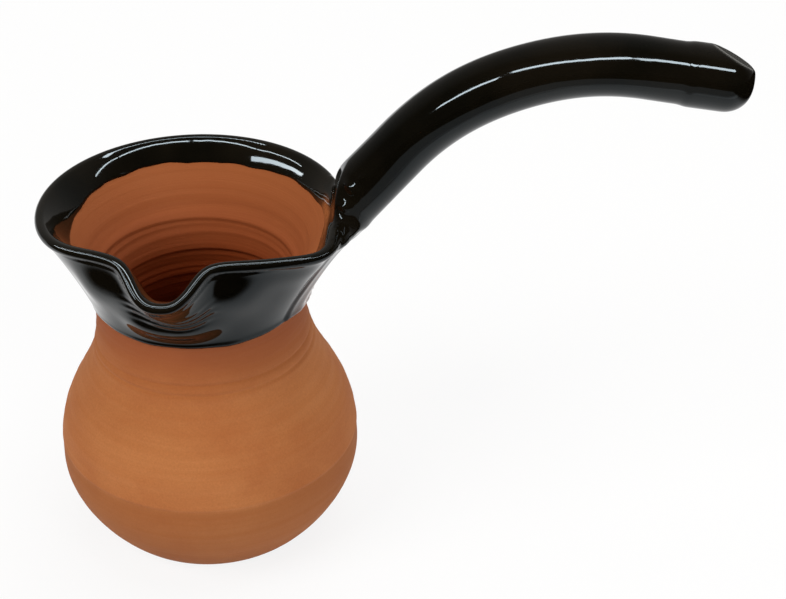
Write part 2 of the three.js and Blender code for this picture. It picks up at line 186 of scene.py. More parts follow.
def place(radius, height, angle):
    """A point of the thrown pot after the collar was pressed and pulled."""
    lean = RIM_LEAN * np.clip((height - LEAN_FROM) / (RIM_HEIGHT - LEAN_FROM), 0, 1)
    reach, level = radius, height
    for press in (LEFT_PRESS, RIGHT_PRESS, HANDLE_SAG, SPOUT_PULL):
        strength = press_share(press, height, angle)
        reach = reach + press.outward * strength
        level = level + press.upward * strength
    return np.stack([reach * np.cos(angle) + lean, reach * np.sin(angle), level + 0 * angle], -1)


def middle_at(height, angle):
    radius, out_r, out_z = outline(height)
    half = wall_at(height, angle) / 2
    return place(radius - half * out_r, height - half * out_z, angle)


def unit(v):
    return v / np.linalg.norm(v, axis=-1, keepdims=True)


def wall_frame(height, angle):
    """The middle of the wall with its outward and upward directions."""
    height, angle = np.broadcast_arrays(np.asarray(height, float), np.asarray(angle, float))
    point = middle_at(height, angle)
    _, out_r, out_z = outline(height)
    plain_out = np.stack([out_r * np.cos(angle), out_r * np.sin(angle), out_z], -1)
    plain_up = np.stack([-out_z * np.cos(angle), -out_z * np.sin(angle), out_r], -1)
    around = middle_at(height, angle + 0.01) - middle_at(height, angle - 0.01)
    along = middle_at(np.minimum(height + 0.05, TOP), angle) - middle_at(height - 0.05, angle)
    out = unit(np.cross(around, along))
    up = unit(np.cross(out, around))
    above = (height > NECK_HEIGHT)[..., None]
    return point, np.where(above, out, plain_out), np.where(above, up, plain_up)


def outer(height, angle, grow=0.0):
    point, out, _ = wall_frame(height, angle)
    return point + out * np.asarray(wall_at(height, angle) / 2 + grow)[..., None]


def inner(height, angle, grow=0.0):
    point, out, _ = wall_frame(height, angle)
    return point - out * np.asarray(wall_at(height, angle) / 2 + grow)[..., None]


def lip(turn, angle, grow=0.0):
    """A point on the round of the lip: a turn of 0 is its outside and of half a turn its inside."""
    point, out, up = wall_frame(TOP + 0 * np.asarray(angle), angle)
    reach = np.asarray(wall_at(TOP, angle) / 2 + grow)[..., None]
    return point + out * reach * np.cos(turn) + up * reach * np.sin(turn)


def ease(x, low, high):
    t = np.clip((x - low) / (high - low), 0, 1)
    return t * t * (3 - 2 * t)


def bump_at(x, middle, width):
    return np.exp(-((x - middle) / width) ** 2)


def ring_of(radius, height, angle):
    return np.stack([radius * np.cos(angle), radius * np.sin(angle), height + 0 * angle], -1)


def outward_at(angle):
    return np.stack([np.cos(angle), np.sin(angle), 0 * angle], -1)


# Meshes

def add_mesh(name, vertices, faces, smooth=True):
    mesh = bpy.data.meshes.new(name)
    mesh.from_pydata((np.asarray(vertices) * MM).tolist(), [], faces)
    mesh.update()
    if smooth:
        mesh.polygons.foreach_set("use_smooth", [True] * len(mesh.polygons))
    piece = bpy.data.objects.new(name, mesh)
    bpy.context.scene.collection.objects.link(piece)
    return piece


def grid_faces(rows, columns, wrap_rows=False):
    i = np.arange(rows if wrap_rows else rows - 1)[:, None]
    j = np.arange(columns)[None, :]
    a = i * columns + j
    b = i * columns + (j + 1) % columns
    c = ((i + 1) % rows) * columns + (j + 1) % columns
    d = ((i + 1) % rows) * columns + j
    return np.stack([a, b, c, d], -1).reshape(-1, 4).tolist()


def closed_loft(name, rows):
    """Rings joined one to the next, and capped at both ends."""
    rows = np.asarray(rows)
    count, columns = rows.shape[:2]
    faces = grid_faces(count, columns)
    vertices = rows.reshape(-1, 3)
    ends = np.array([rows[0].mean(0), rows[-1].mean(0)])
    first = len(vertices)
    for j in range(columns):
        k = (j + 1) % columns
        faces.append([first, k, j])
        faces.append([first + 1, (count - 1) * columns + j, (count - 1) * columns + k])
    return add_mesh(name, np.vstack([vertices, ends]), faces)


def add_values(piece, name, values):
    """One number for each corner of the mesh, for its material to read."""
    layer = piece.data.attributes.new(name, "FLOAT", "POINT")
    layer.data.foreach_set("value", np.asarray(values, np.float32))


def drop(*objects):
    for o in objects:
        mesh = o.data
        bpy.data.objects.remove(o)
        bpy.data.meshes.remove(mesh)


def applied(piece):
    """The piece with its modifiers made part of its mesh."""
    graph = bpy.context.evaluated_depsgraph_get()
    mesh = bpy.data.meshes.new_from_object(piece.evaluated_get(graph))
    old = piece.data
    piece.modifiers.clear()
    piece.data = mesh
    bpy.data.meshes.remove(old)
    return piece


def points_of(mesh):
    co = np.zeros(len(mesh.vertices) * 3, np.float64)
    mesh.vertices.foreach_get("co", co)
    return co.reshape(-1, 3)


# The thrown body

def throwing(height, angle):
    """Shallow rings of the fingers, climbing round the pot."""
    rings = 0.6 * np.sin(2 * math.pi * height / 5.3 + angle + 0.6 * np.sin(2 * angle))
    rings = rings + 0.5 * np.sin(2 * math.pi * height / 2.9 - angle + 1.3)
    rings = rings + 0.35 * np.sin(2 * math.pi * height / 1.7 + 2 * angle + 4)
    return rings


def outside_relief(height, angle):
    step = ease(height, TRIM_HEIGHT - TRIM_STEP, TRIM_HEIGHT + TRIM_STEP)
    grow = -TRIM_DEPTH * min(height / TRIM_HEIGHT, 1) * (1 - step)
    grow = grow + RINGS_OUTSIDE * throwing(height, angle) * (0.35 + 0.65 * step) * ease(height, 1, 6)
    for k, groove in enumerate(GROOVES):
        front = 0.55 + 0.45 * np.cos(angle + (80 - 25 * k) * DEG)
        wander = groove + 0.25 * np.sin(angle + 1.7 * k) + 0.1 * np.sin(3 * angle)
        grow = grow - GROOVE_DEPTH * front * bump_at(height, wander, GROOVE_HALF)
        grow = grow + BURR * front * bump_at(height, wander + BURR_RISE, BURR_HALF)
    if height < FOOT_EDGE:
        grow = grow - FOOT_EDGE_DEPTH * (1 - height / FOOT_EDGE) ** 2
    return grow


def inside_relief(height, angle):
    """Rings and ledges of the inside, steep below and drawn out above."""
    grow = RINGS_INSIDE * throwing(height * 0.8 + 3, angle) * ease(TOP - height, 3, 14)
    for k, ledge in enumerate(LEDGES):
        wander = ledge + 0.35 * np.sin(angle + 2.1 * k)
        half = np.where(height > wander, LEDGE_ABOVE, LEDGE_BELOW)
        grow = grow + LEDGE_DEPTH * bump_at(height, wander, half)
    for k, (ledge, depth) in enumerate(FINE_LEDGES):
        wander = ledge + 0.3 * np.sin(angle + 1.3 * k)
        half = np.where(height > wander, FINE_ABOVE, FINE_BELOW)
        grow = grow + depth * (0.7 + 0.3 * np.sin(angle + k)) * bump_at(height, wander, half)
    return grow


def clay_body():
    angle = np.linspace(0, 2 * math.pi, 256, endpoint=False)
    bottom = FOOT_RADIUS - FOOT_EDGE
    rows = [ring_of(radius, 0, angle) for radius in (0.01, 6, 13, 20, bottom - 1.5)]
    up = np.concatenate([
        [0.0, 0.12, 0.35, 0.7, 1.2], np.arange(2, 26.5, 1.1), np.arange(26.6, 29.4, 0.22),
        np.arange(30, 54.5, 1.1), np.arange(54.8, 60.6, 0.28), np.arange(61.2, 70, 0.9),
        np.linspace(71, TOP, 26)])
    rows += [outer(height + 0 * angle, angle, outside_relief(height, angle)) for height in up]
    rows += [lip(turn, angle) for turn in np.linspace(0, math.pi, 9)[1:-1]]
    first_inside = len(rows)
    down = np.concatenate([
        np.linspace(TOP, 79.5, 22), np.arange(79, 57, -0.3), np.arange(56.5, 8, -1.5),
        [6.5, 5, 3.6, 2.3, 1.2, 0.5, 0]])
    rows += [inner(height + 0 * angle, angle, inside_relief(height, angle)) for height in down]
    floor_height = inner(np.array(0.0), np.array(0.0))[2]
    for radius in (14, 9, FLOOR_NUB, 2.5, 0.01):
        crown = FLOOR_CROWN * (1 - ease(radius, FLOOR_NUB - 2, 9))
        rows.append(ring_of(radius, floor_height + crown, angle))
    made = closed_loft("thrown_clay_body", rows)
    inside = np.zeros(len(made.data.vertices))
    inside[first_inside * len(angle):] = 1
    inside[-2] = 0
    add_values(made, "inside", inside)
    return made


# The glaze: collar, coil and wad joined and rounded into one skin

def glaze_depth(angle):
    depth = GLAZE_INSIDE
    for middle, spread, extra in GLAZE_CHANGES:
        depth = depth + extra * share(angle, middle, spread)
    wander = 0.22 * np.sin(5 * angle + 1) + 0.16 * np.sin(11 * angle + 2.2) + 0.1 * np.sin(23 * angle)
    return depth + wander


def glaze_line(angle):
    wander = 0.25 * np.sin(2 * angle + 0.5) + 0.12 * np.sin(7 * angle) + 0.06 * np.sin(17 * angle)
    return GLAZE_LINE + wander


def collar_swell(height, angle):
    swell = 0 * angle
    for middle, half, side, spread, most in COLLAR_ROLLS:
        swell = swell + most * bump_at(height, middle, half) * share(angle, side, spread, BROAD)
    ripples = RIPPLE * np.sin(2 * math.pi * (height + 0.4 * np.sin(5 * angle)) / RIPPLE_PITCH)
    ripples = ripples * bump_at(height, RIPPLE_HEIGHT, RIPPLE_HALF)
    return swell + ripples * share(angle, RIPPLE_ANGLE, RIPPLE_SPREAD, BROAD)


def collar_form():
    """The coat of the collar as a closed band, up the outside, over the lip and back in the wall."""
    angle = np.linspace(0, 2 * math.pi, 320, endpoint=False)
    line, depth = glaze_line(angle), glaze_depth(angle)
    bead_top = BEAD[-1][0]
    rows = []
    for rise, grow in BEAD:
        rows.append(outer(line + rise, angle, grow + collar_swell(line + rise, angle)))
    for t in np.linspace(0, 1, 52)[1:-1]:
        height = line + bead_top + (TOP - line - bead_top) * t
        rows.append(outer(height, angle, COAT + 0.05 * (1 - t) + collar_swell(height, angle)))
    for turn in np.linspace(0, math.pi, 17):
        thinner = ease(turn, 0.3 * math.pi, 0.85 * math.pi)
        rows.append(lip(turn, angle, COAT + (THIN_COAT - COAT) * thinner))
    for t, grow in INNER_EDGE:
        rows.append(inner(TOP - depth * t, angle, grow + 0 * angle))
    for t in np.linspace(0, 1, 40)[1:-1]:
        height = (TOP - depth) * (1 - t) + line * t
        rows.append(outer(height, angle, -np.minimum(BURIED, wall_at(height, angle) / 2)))
    rows = np.stack(rows, 0)
    count, columns = rows.shape[:2]
    return add_mesh("collar_form", rows.reshape(-1, 3), grid_faces(count, columns, wrap_rows=True))


def coil_root():
    """Where the middle of the coil crosses the lip, in the plane of x and z."""
    root = middle_at(np.array(TOP), np.array(0.0))
    return np.array((root[0], root[2] - ROOT_DROP))


def coil_path(step=0.7):
    """Distances, points and directions along the middle of the coil, in the plane of x and z."""
    root = coil_root()
    rise = np.array((math.cos(RISE_ANGLE), math.sin(RISE_ANGLE)))
    start = root - rise * TAIL_LENGTH
    centre = root + rise * RISE_LENGTH + BEND_RADIUS * np.array((rise[1], -rise[0]))
    bend_from = TAIL_LENGTH + RISE_LENGTH
    bend_to = bend_from + BEND_RADIUS * (RISE_ANGLE + DROOP_ANGLE)
    total = bend_to + END_LENGTH
    distances = np.linspace(0, total, int(total / step))
    points, headings = [], []
    for s in distances:
        heading = RISE_ANGLE - np.clip(s - bend_from, 0, bend_to - bend_from) / BEND_RADIUS
        ahead = np.array((math.cos(heading), math.sin(heading)))
        if s < bend_from:
            point = start + rise * s
        else:
            point = centre + BEND_RADIUS * np.array((-ahead[1], ahead[0])) + ahead * max(0, s - bend_to)
        points.append(point)
        headings.append(heading)
    return distances, np.array(points), np.array(headings)


def knife_cut():
    """A point and the normal of the plane in which a knife took off the end of the coil."""
    lean = DROOP_ANGLE + KNIFE_ANGLE
    normal = np.array((
        math.sin(lean), math.cos(lean) * math.sin(KNIFE_TWIST), math.cos(lean) * math.cos(KNIFE_TWIST)))
    end = coil_path()[1][-1]
    on_cut = np.array((
        end[0] - KNIFE_REACH * math.cos(DROOP_ANGLE), 0,
        end[1] + KNIFE_REACH * math.sin(DROOP_ANGLE) + (COIL_RADIUS + KNOB_SWELL) / math.cos(DROOP_ANGLE)))
    return on_cut, normal


def coil_ring(point, heading, radius, turn):
    across, up = math.sin(heading), math.cos(heading)
    return np.stack([
        point[0] - across * radius * np.cos(turn),
        -radius * np.sin(turn),
        point[1] + up * radius * np.cos(turn)], -1)


def coil_radius(s, length, turn, grow):
    """Radius of the coil all round, at a distance along it."""
    tail = ease(s, 0, TAIL_LENGTH)
    knob_start = length - KNOB_LENGTH
    knob = ease(s, knob_start + KNOB_STEP[0], knob_start + KNOB_STEP[1])
    radius = COIL_RADIUS * (TAIL_SHARE + (1 - TAIL_SHARE) * tail) + KNOB_SWELL * knob + grow
    wave = 0.09 * np.sin(2 * turn + s / 9) + 0.06 * np.sin(3 * turn - s / 6) + 0.07 * math.sin(s / 7.5)
    return radius + wave * ease(s, TAIL_LENGTH, TAIL_LENGTH + 12)


def coil_form(grow=COAT):
    distances, points, headings = coil_path()
    length = distances[-1]
    turn = np.linspace(0, 2 * math.pi, 72, endpoint=False)
    straight = length - END_ROUNDING
    rows = []
    for s, point, heading in zip(distances, points, headings):
        if s < straight:
            rows.append(coil_ring(point, heading, coil_radius(s, length, turn, grow), turn))
    end_way = np.array((math.cos(DROOP_ANGLE), -math.sin(DROOP_ANGLE)))
    for t in np.linspace(0, math.pi / 2, 14)[1:]:
        s = straight + END_ROUNDING * math.sin(t)
        point = np.array([np.interp(s, distances, column) for column in points.T])
        radius = coil_radius(s, length, turn, grow) - END_ROUNDING * (1 - math.cos(t))
        rows.append(coil_ring(point + end_way * grow * math.sin(t), -DROOP_ANGLE, radius, turn))
    last = rows[-1]
    middle = last.mean(0)
    rows += [middle + (last - middle) * t for t in (0.66, 0.33, 0.02)]
    rows = np.array(rows)

    on_cut, normal = knife_cut()
    above = (rows - on_cut) @ normal - grow
    rows = rows - np.maximum(above, 0)[..., None] * normal
    return closed_loft("coil_form", rows)


def pot_core(grow=COAT):
    """The inside of the pot filled up, with the upright face that ends the coil over the lip."""
    angle = np.linspace(0, 2 * math.pi, 160, endpoint=False)
    last_turn = RIM_FLARE + BUTT_ANGLE
    rows = [outer(h + 0 * angle, angle, -NECK_WALL / 2) for h in np.linspace(WAD_FOOT - 12, TOP, 24)]
    rows += [lip(turn, angle, -RIM_WALL / 4) for turn in np.linspace(0, last_turn, 7)[1:]]
    foot = lip(last_turn, np.array(0.0))
    root = coil_root()
    bend = math.pi / 2 - RISE_ANGLE
    rounding = BUTT_ROUNDING + grow
    coil_top = (COIL_RADIUS + grow + BUTT_SLACK) / math.cos(RISE_ANGLE)
    crossing = root[1] + coil_top + (foot[0] - grow - root[0]) * math.tan(RISE_ANGLE)
    bend_rise = crossing - rounding * math.tan(bend / 2) - foot[2]
    steps = [(-grow, BUTT_SLACK)]
    for turn in np.linspace(0, bend, 9):
        steps.append((rounding * (1 - math.cos(turn)) - grow, bend_rise + rounding * math.sin(turn)))
    out, rise = steps[-1]
    beyond = 2 * COIL_RADIUS
    steps.append((out + beyond * math.cos(RISE_ANGLE), rise + beyond * math.sin(RISE_ANGLE)))
    crest, outward = lip(last_turn, angle), outward_at(angle)
    rows += [crest + outward * out + np.array((0, 0, rise)) for out, rise in steps]
    return closed_loft("pot_core", rows)


def wad_form(grow=COAT):
    shares = np.concatenate([np.linspace(0, WAD_SHOULDER, 34), np.linspace(WAD_SHOULDER, 1, 9)[1:]])
    side = np.linspace(-1, 1, 61)
    rows = []
    for s in shares:
        beyond = -grow if s == 0 else grow if s == 1 else 0
        height = WAD_FOOT + (WAD_TOP - WAD_FOOT) * s + beyond + 0 * side
        rounding = max(0.0, (s - WAD_SHOULDER) / (1 - WAD_SHOULDER))
        depth = WAD_FOOT_DEPTH + (WAD_TOP_DEPTH - WAD_FOOT_DEPTH) * s ** WAD_SWEEP
        depth = depth * math.sqrt(max(0.0, 1 - rounding ** 2))
        near = WAD_NEAR + (WAD_TOP_NEAR - WAD_NEAR) * s
        far = WAD_FAR + (WAD_TOP_FAR - WAD_FAR) * s
        angle = side * (np.where(side < 0, near, far) + grow / NECK_RADIUS)
        swell = WAD_EDGE + depth * np.cos(side * math.pi / 2) ** WAD_FULLNESS
        ridges = 0.55 * np.sin(8.5 * side + 1.6 * s + 0.9) + 0.3 * np.sin(15 * side - 2.8 * s)
        swell = swell + ridges * (1 - side ** 4) * (1 - rounding) * (0.45 + 0.55 * s)
        outside = outer(height, angle, WAD_SEAT + 0 * angle) + outward_at(angle) * (swell + grow)[:, None]
        inside = outer(height, angle, -NECK_WALL / 2 + 0 * angle)
        rows.append(np.vstack([outside, inside[::-1]]))
    return closed_loft("wad_form", rows)


def lip_part():
    """The stretch of the lip that the coil stands on, a hair inside the glaze of the collar."""
    heights = np.linspace(TOP - LIP_PART_DOWN, TOP, 8)
    turns = np.linspace(0, math.pi, 13)[1:-1]
    rows = []
    for angle in np.linspace(LIP_PART_FROM, LIP_PART_TO, 60):
        outside = outer(heights, angle + 0 * heights, LIP_PART_OUTSIDE)
        over = np.array([lip(t, np.array(angle), LIP_PART_OVER) for t in turns])
        inside = inner(heights[::-1], angle + 0 * heights, LIP_PART_INSIDE)
        rows.append(np.vstack([outside, over, inside]))
    return closed_loft("lip_part", rows)


def root_pool():
    """Glaze that gathered where the end of the coil stands on the lip."""
    ring = np.linspace(0, 2 * math.pi, 16, endpoint=False)[:, None]
    up = np.array((0, 0, 1))
    rows = []
    for side in np.linspace(-1, 1, 41):
        angle = np.array(side * POOL_SPREAD)
        outward = outward_at(angle)
        size = POOL_ENDS + POOL_SIZE * (1 - side ** 2)
        crest = lip(RIM_FLARE + BUTT_ANGLE, angle)
        middle = crest + outward * POOL_OUT * abs(side) + up * POOL_RISE
        rows.append(middle + size * (np.cos(ring) * outward + np.sin(ring) * up))
    return closed_loft("root_pool", rows)


def joined(objects, name):
    """One mesh of the corners and faces of several."""
    vertices, faces, first = [], [], 0
    for o in objects:
        vertices.append(points_of(o.data) / MM)
        faces += [[v + first for v in p.vertices] for p in o.data.polygons]
        first += len(o.data.vertices)
    return add_mesh(name, np.vstack(vertices), faces)


def rounded_together(objects, radius):
    """Joins forms and fills the inner corners between them to a radius."""
    whole = joined(objects, "rounded_form")
    for name, kind, size in (
            ("join", "REMESH", COARSE_GRAIN), ("out", "DISPLACE", radius), ("fill", "REMESH", COARSE_GRAIN),
            ("back", "DISPLACE", -radius), ("even", "REMESH", FINE_GRAIN)):
        step = whole.modifiers.new(name, kind)
        if kind == "REMESH":
            step.mode, step.voxel_size = "VOXEL", size * MM
        else:
            step.strength, step.mid_level = size * MM, 0
    return applied(whole)


def coped(coil, core):
    """The coil cut to stand over the lip and down the collar."""
    cut = coil.modifiers.new("coped", "BOOLEAN")
    cut.operation, cut.solver, cut.object = "DIFFERENCE", "EXACT", core
    return applied(coil)


def run_together(objects):
    """One even skin over several forms."""
    whole = joined(objects, "glaze_form")
    remesh = whole.modifiers.new("run_together", "REMESH")
    remesh.mode, remesh.voxel_size = "VOXEL", SKIN_GRAIN * MM
    return applied(whole)


def smoothed(points, edges, rounds):
    """Points moved towards their neighbours, and back again so that the form doesn't shrink."""
    count = np.bincount(edges.ravel(), minlength=len(points))[:, None].astype(float)
    for _ in range(rounds):
        for factor in (0.5, -0.52):
            total = np.zeros_like(points)
            for axis in range(3):
                total[:, axis] += np.bincount(edges[:, 0], points[edges[:, 1], axis], len(points))
                total[:, axis] += np.bincount(edges[:, 1], points[edges[:, 0], axis], len(points))
            points = points + factor * (total / count - points)
    return points


def tree_of(piece):
    return BVHTree.FromPolygons(
        points_of(piece.data).tolist(), [list(p.vertices) for p in piece.data.polygons])


def smooth_normal(mesh, face, point):
    """Normal of a mesh at a point of a face, blended from those of its corners."""
    corners = [mesh.vertices[v] for v in mesh.polygons[face].vertices]
    weights = poly_3d_calc([c.co for c in corners], point)
    return unit(sum(w * np.array(c.normal) for w, c in zip(weights, corners)))


def normals_at(mesh, points):
    """Normals of the mesh once its corners have moved to these points."""
    mesh.vertices.foreach_set("co", points.ravel())
    mesh.update()
    normals = np.zeros(len(points) * 3)
    mesh.vertices.foreach_get("normal", normals)
    return normals.reshape(-1, 3)


def dabs_at(points):
    """Height of the dabs on the coil, for points near its straight rise."""
    root = coil_root()
    x, y, z = points[:, 0] - root[0], points[:, 1], points[:, 2] - root[1]
    along = x * math.cos(RISE_ANGLE) + z * math.sin(RISE_ANGLE)
    top = z * math.cos(RISE_ANGLE) - x * math.sin(RISE_ANGLE)
    turn = np.arctan2(-y, top)
    total = 0 * x
    for middle, side, length, width, height in DABS:
        round_it = (turn - side) * COIL_RADIUS
        total = total + height * bump_at(along, middle, length) * bump_at(round_it, 0, width)
    return total * ease(np.hypot(y, top), COIL_RADIUS - 1, COIL_RADIUS)


def glaze_skin(body):
    """The coats of the collar and of the handle, without the faces that lie in the clay."""
    coil, core, wad, collar = coil_form(), pot_core(), wad_form(), collar_form()
    part, pool = lip_part(), root_pool()
    handle = rounded_together([coped(coil, core), wad, part, pool], CORNER_FILL)
    whole = run_together([handle, collar])
    mesh = whole.data
    edges = np.zeros(len(mesh.edges) * 2, np.int64)
    mesh.edges.foreach_get("vertices", edges)
    points = smoothed(points_of(mesh), edges.reshape(-1, 2), SMOOTHING_ROUNDS)
    points = points + normals_at(mesh, points) * dabs_at(points / MM)[:, None] * MM
    normals = normals_at(mesh, points)

    # Away from the handle the points go back to the form of the collar, so that it mirrors calmly.
    body_tree, collar_tree, handle_tree = tree_of(body), tree_of(collar), tree_of(handle)
    deep = np.zeros(len(points), bool)
    on_collar = np.zeros(len(points), bool)
    for k, p in enumerate(points.tolist()):
        hit, normal, _, _ = body_tree.find_nearest(p, DEEP_REACH * MM)
        deep[k] = hit is not None and (Vector(p) - hit).dot(normal) < -DEEP * MM
        hit, _, face, _ = collar_tree.find_nearest(p, COLLAR_REACH * MM)
        if hit is None:
            continue
        on_collar[k] = True
        _, _, _, apart = handle_tree.find_nearest(p, HANDLE_REACH * MM)
        trust = 1.0 if apart is None else float(ease(apart / MM, *HANDLE_FADE))
        if trust > 0:
            points[k] += trust * (np.array(hit) - points[k])
            normals[k] = unit(normals[k] * (1 - trust) + smooth_normal(collar.data, face, hit) * trust)

    faces = np.array([list(p.vertices) for p in mesh.polygons])
    shown = ~deep[faces].all(1)
    collar_faces = shown & on_collar[faces].all(1)
    handle_faces = shown & ~collar_faces
    pieces = []
    for name, mask in (("collar_glaze_coat", collar_faces), ("handle_glaze_coat", handle_faces)):
        used, packed = np.unique(faces[mask], return_inverse=True)
        piece = add_mesh(name, points[used] / MM, packed.reshape(-1, 4).tolist())
        piece.data.normals_split_custom_set_from_vertices(normals[used].tolist())
        pieces.append(piece)
    drop(coil, core, wad, collar, part, pool, handle, whole)
    return pieces


def mark_glaze(coat):
    """Marks where the glaze is thin inside the lip, and the knife's cut, on which a pale reflection is
    painted.
    """
    p = points_of(coat.data) / MM
    angle = np.arctan2(p[:, 1], p[:, 0] - RIM_LEAN)
    radius = np.hypot(p[:, 0] - RIM_LEAN, p[:, 1])
    crest = lip(math.pi / 2, angle)
    crest_radius = np.hypot(crest[:, 0] - RIM_LEAN, crest[:, 1])
    thin = ease(crest_radius - radius, *AMBER_INSIDE) * share(angle, AMBER_ANGLE, AMBER_SPREAD, BROAD)
    thin = thin * (1 - ease(p[:, 2] - crest[:, 2], *AMBER_BELOW))
    on_cut, normal = knife_cut()
    below_cut = COAT - (p - on_cut) @ normal
    # Where a pale reflection is painted on the knife's cut.
    cut = (1 - ease(below_cut, *CUT_EDGE)) * ease(p[:, 0], *CUT_FROM)
    add_values(coat, "thin", thin)
    add_values(coat, "cut", cut)


# Materials

# Colours are linear. The fades are heights in millimetres, noise scales are per metre, and bumps are
# in metres.
CLAY_COLOURS = {
    "thrown_body_clay": ((0.5, 0.188, 0.062), (0.42, 0.138, 0.042)),
    "rolled_coil_clay": ((0.47, 0.168, 0.058), (0.4, 0.126, 0.041)),
    "luting_wad_clay": ((0.44, 0.15, 0.05), (0.36, 0.113, 0.037)),
}
# Under the collar the clay is redder, and darker from painted shade where the collar overhangs.
HEEL_FADE, NECK_SHADE_AND_RED_FADE, MOUTH_LIGHT_FADE, INSIDE_SHADE_FADE = (27.6, 29.4), (51, 70), (74, 90), (60, 81)
HEEL_TONE, NECK_SHADE_AND_RED_TONE = (0.68, 0.68, 0.68), (0.66, 0.5, 0.54)
# Inside the pot: painted light near the mouth and painted shade deeper down.
MOUTH_LIGHT_TONE, INSIDE_SHADE_TONE = (1.7, 1.7, 1.7), (0.5, 0.27, 0.2)
HEEL_SHARE, NECK_SHADE_AND_RED_SHARE, MOUTH_LIGHT_SHARE = 0.48, 0.85, 0.14
GLAZE_DARK, GLAZE_LIGHT = (0.0016, 0.0013, 0.0007), (0.0034, 0.0025, 0.0014)
# Amber where the glaze is thin, and a grey reflection painted on the knife's cut.
GLAZE_AMBER, CUT_REFLECTION_GREY = (0.16, 0.05, 0.016), (0.075, 0.073, 0.067)


def material(name):
    made = bpy.data.materials.new(name)
    made.use_nodes = True
    tree = made.node_tree
    return made, tree, tree.nodes["Principled BSDF"]


def node(tree, kind, **settings):
    made = tree.nodes.new(kind)
    for key, value in settings.items():
        if key in made.inputs:
            made.inputs[key].default_value = value
        else:
            setattr(made, key, value)
    return made


def place_in(tree, output="Object"):
    """The three parts of the place that is shaded."""
    where = node(tree, "ShaderNodeTexCoord")
    split = node(tree, "ShaderNodeSeparateXYZ")
    tree.links.new(where.outputs[output], split.inputs[0])
    return split.outputs


def stored(tree, name):
    return node(tree, "ShaderNodeAttribute", attribute_name=name).outputs["Fac"]


def noise(tree, scale, detail=4.0, rough=0.55, distortion=0.0):
    where = node(tree, "ShaderNodeTexCoord")
    mapping = node(tree, "ShaderNodeMapping")
    mapping.inputs["Scale"].default_value = scale
    tree.links.new(where.outputs["Object"], mapping.inputs["Vector"])
    made = node(
        tree, "ShaderNodeTexNoise", Scale=1.0, Detail=detail, Roughness=rough, Distortion=distortion)
    tree.links.new(mapping.outputs["Vector"], made.inputs["Vector"])
    return made.outputs["Fac"]


def ramp(tree, value, stops):
    made = node(tree, "ShaderNodeValToRGB")
    while len(made.color_ramp.elements) < len(stops):
        made.color_ramp.elements.new(0.5)
    for element, (position, colour) in zip(made.color_ramp.elements, stops):
        element.position = position
        element.color = (*colour, 1)
    tree.links.new(value, made.inputs["Fac"])
    return made.outputs["Color"]


def put(tree, socket, value):
    """Links a socket, or sets it to a number or a colour."""
    if isinstance(value, bpy.types.NodeSocket):
        tree.links.new(value, socket)
    else:
        socket.default_value = value if isinstance(value, (int, float)) else (*value, 1)


def mixed(tree, factor, a, b, kind="MIX"):
    made = node(tree, "ShaderNodeMix", data_type="RGBA", blend_type=kind)
    for socket, value in ((made.inputs[0], factor), (made.inputs[6], a), (made.inputs[7], b)):
        put(tree, socket, value)
    return made.outputs[2]


def ranged(tree, value, low, high, to_low=0.0, to_high=1.0, smooth=False):
    made = node(tree, "ShaderNodeMapRange")
    made.interpolation_type = "SMOOTHSTEP" if smooth else "LINEAR"
    for key, number in (("From Min", low), ("From Max", high), ("To Min", to_low), ("To Max", to_high)):
        made.inputs[key].default_value = number
    tree.links.new(value, made.inputs["Value"])
    return made.outputs["Result"]


def faded(tree, height, fade, to_low, to_high):
    return ranged(tree, height, fade[0] * MM, fade[1] * MM, to_low, to_high, smooth=True)


def maths(tree, kind, a, b):
    made = node(tree, "ShaderNodeMath", operation=kind)
    for socket, value in zip(made.inputs, (a, b)):
        put(tree, socket, value)
    return made.outputs[0]


def bumped(tree, height, distance, strength=1.0, before=None):
    made = node(tree, "ShaderNodeBump", Strength=strength, Distance=distance)
    tree.links.new(height, made.inputs["Height"])
    if before is not None:
        tree.links.new(before, made.inputs["Normal"])
    return made.outputs["Normal"]


def toned(colour, tone):
    return [min(1.0, c * t) for c, t in zip(colour, tone)]


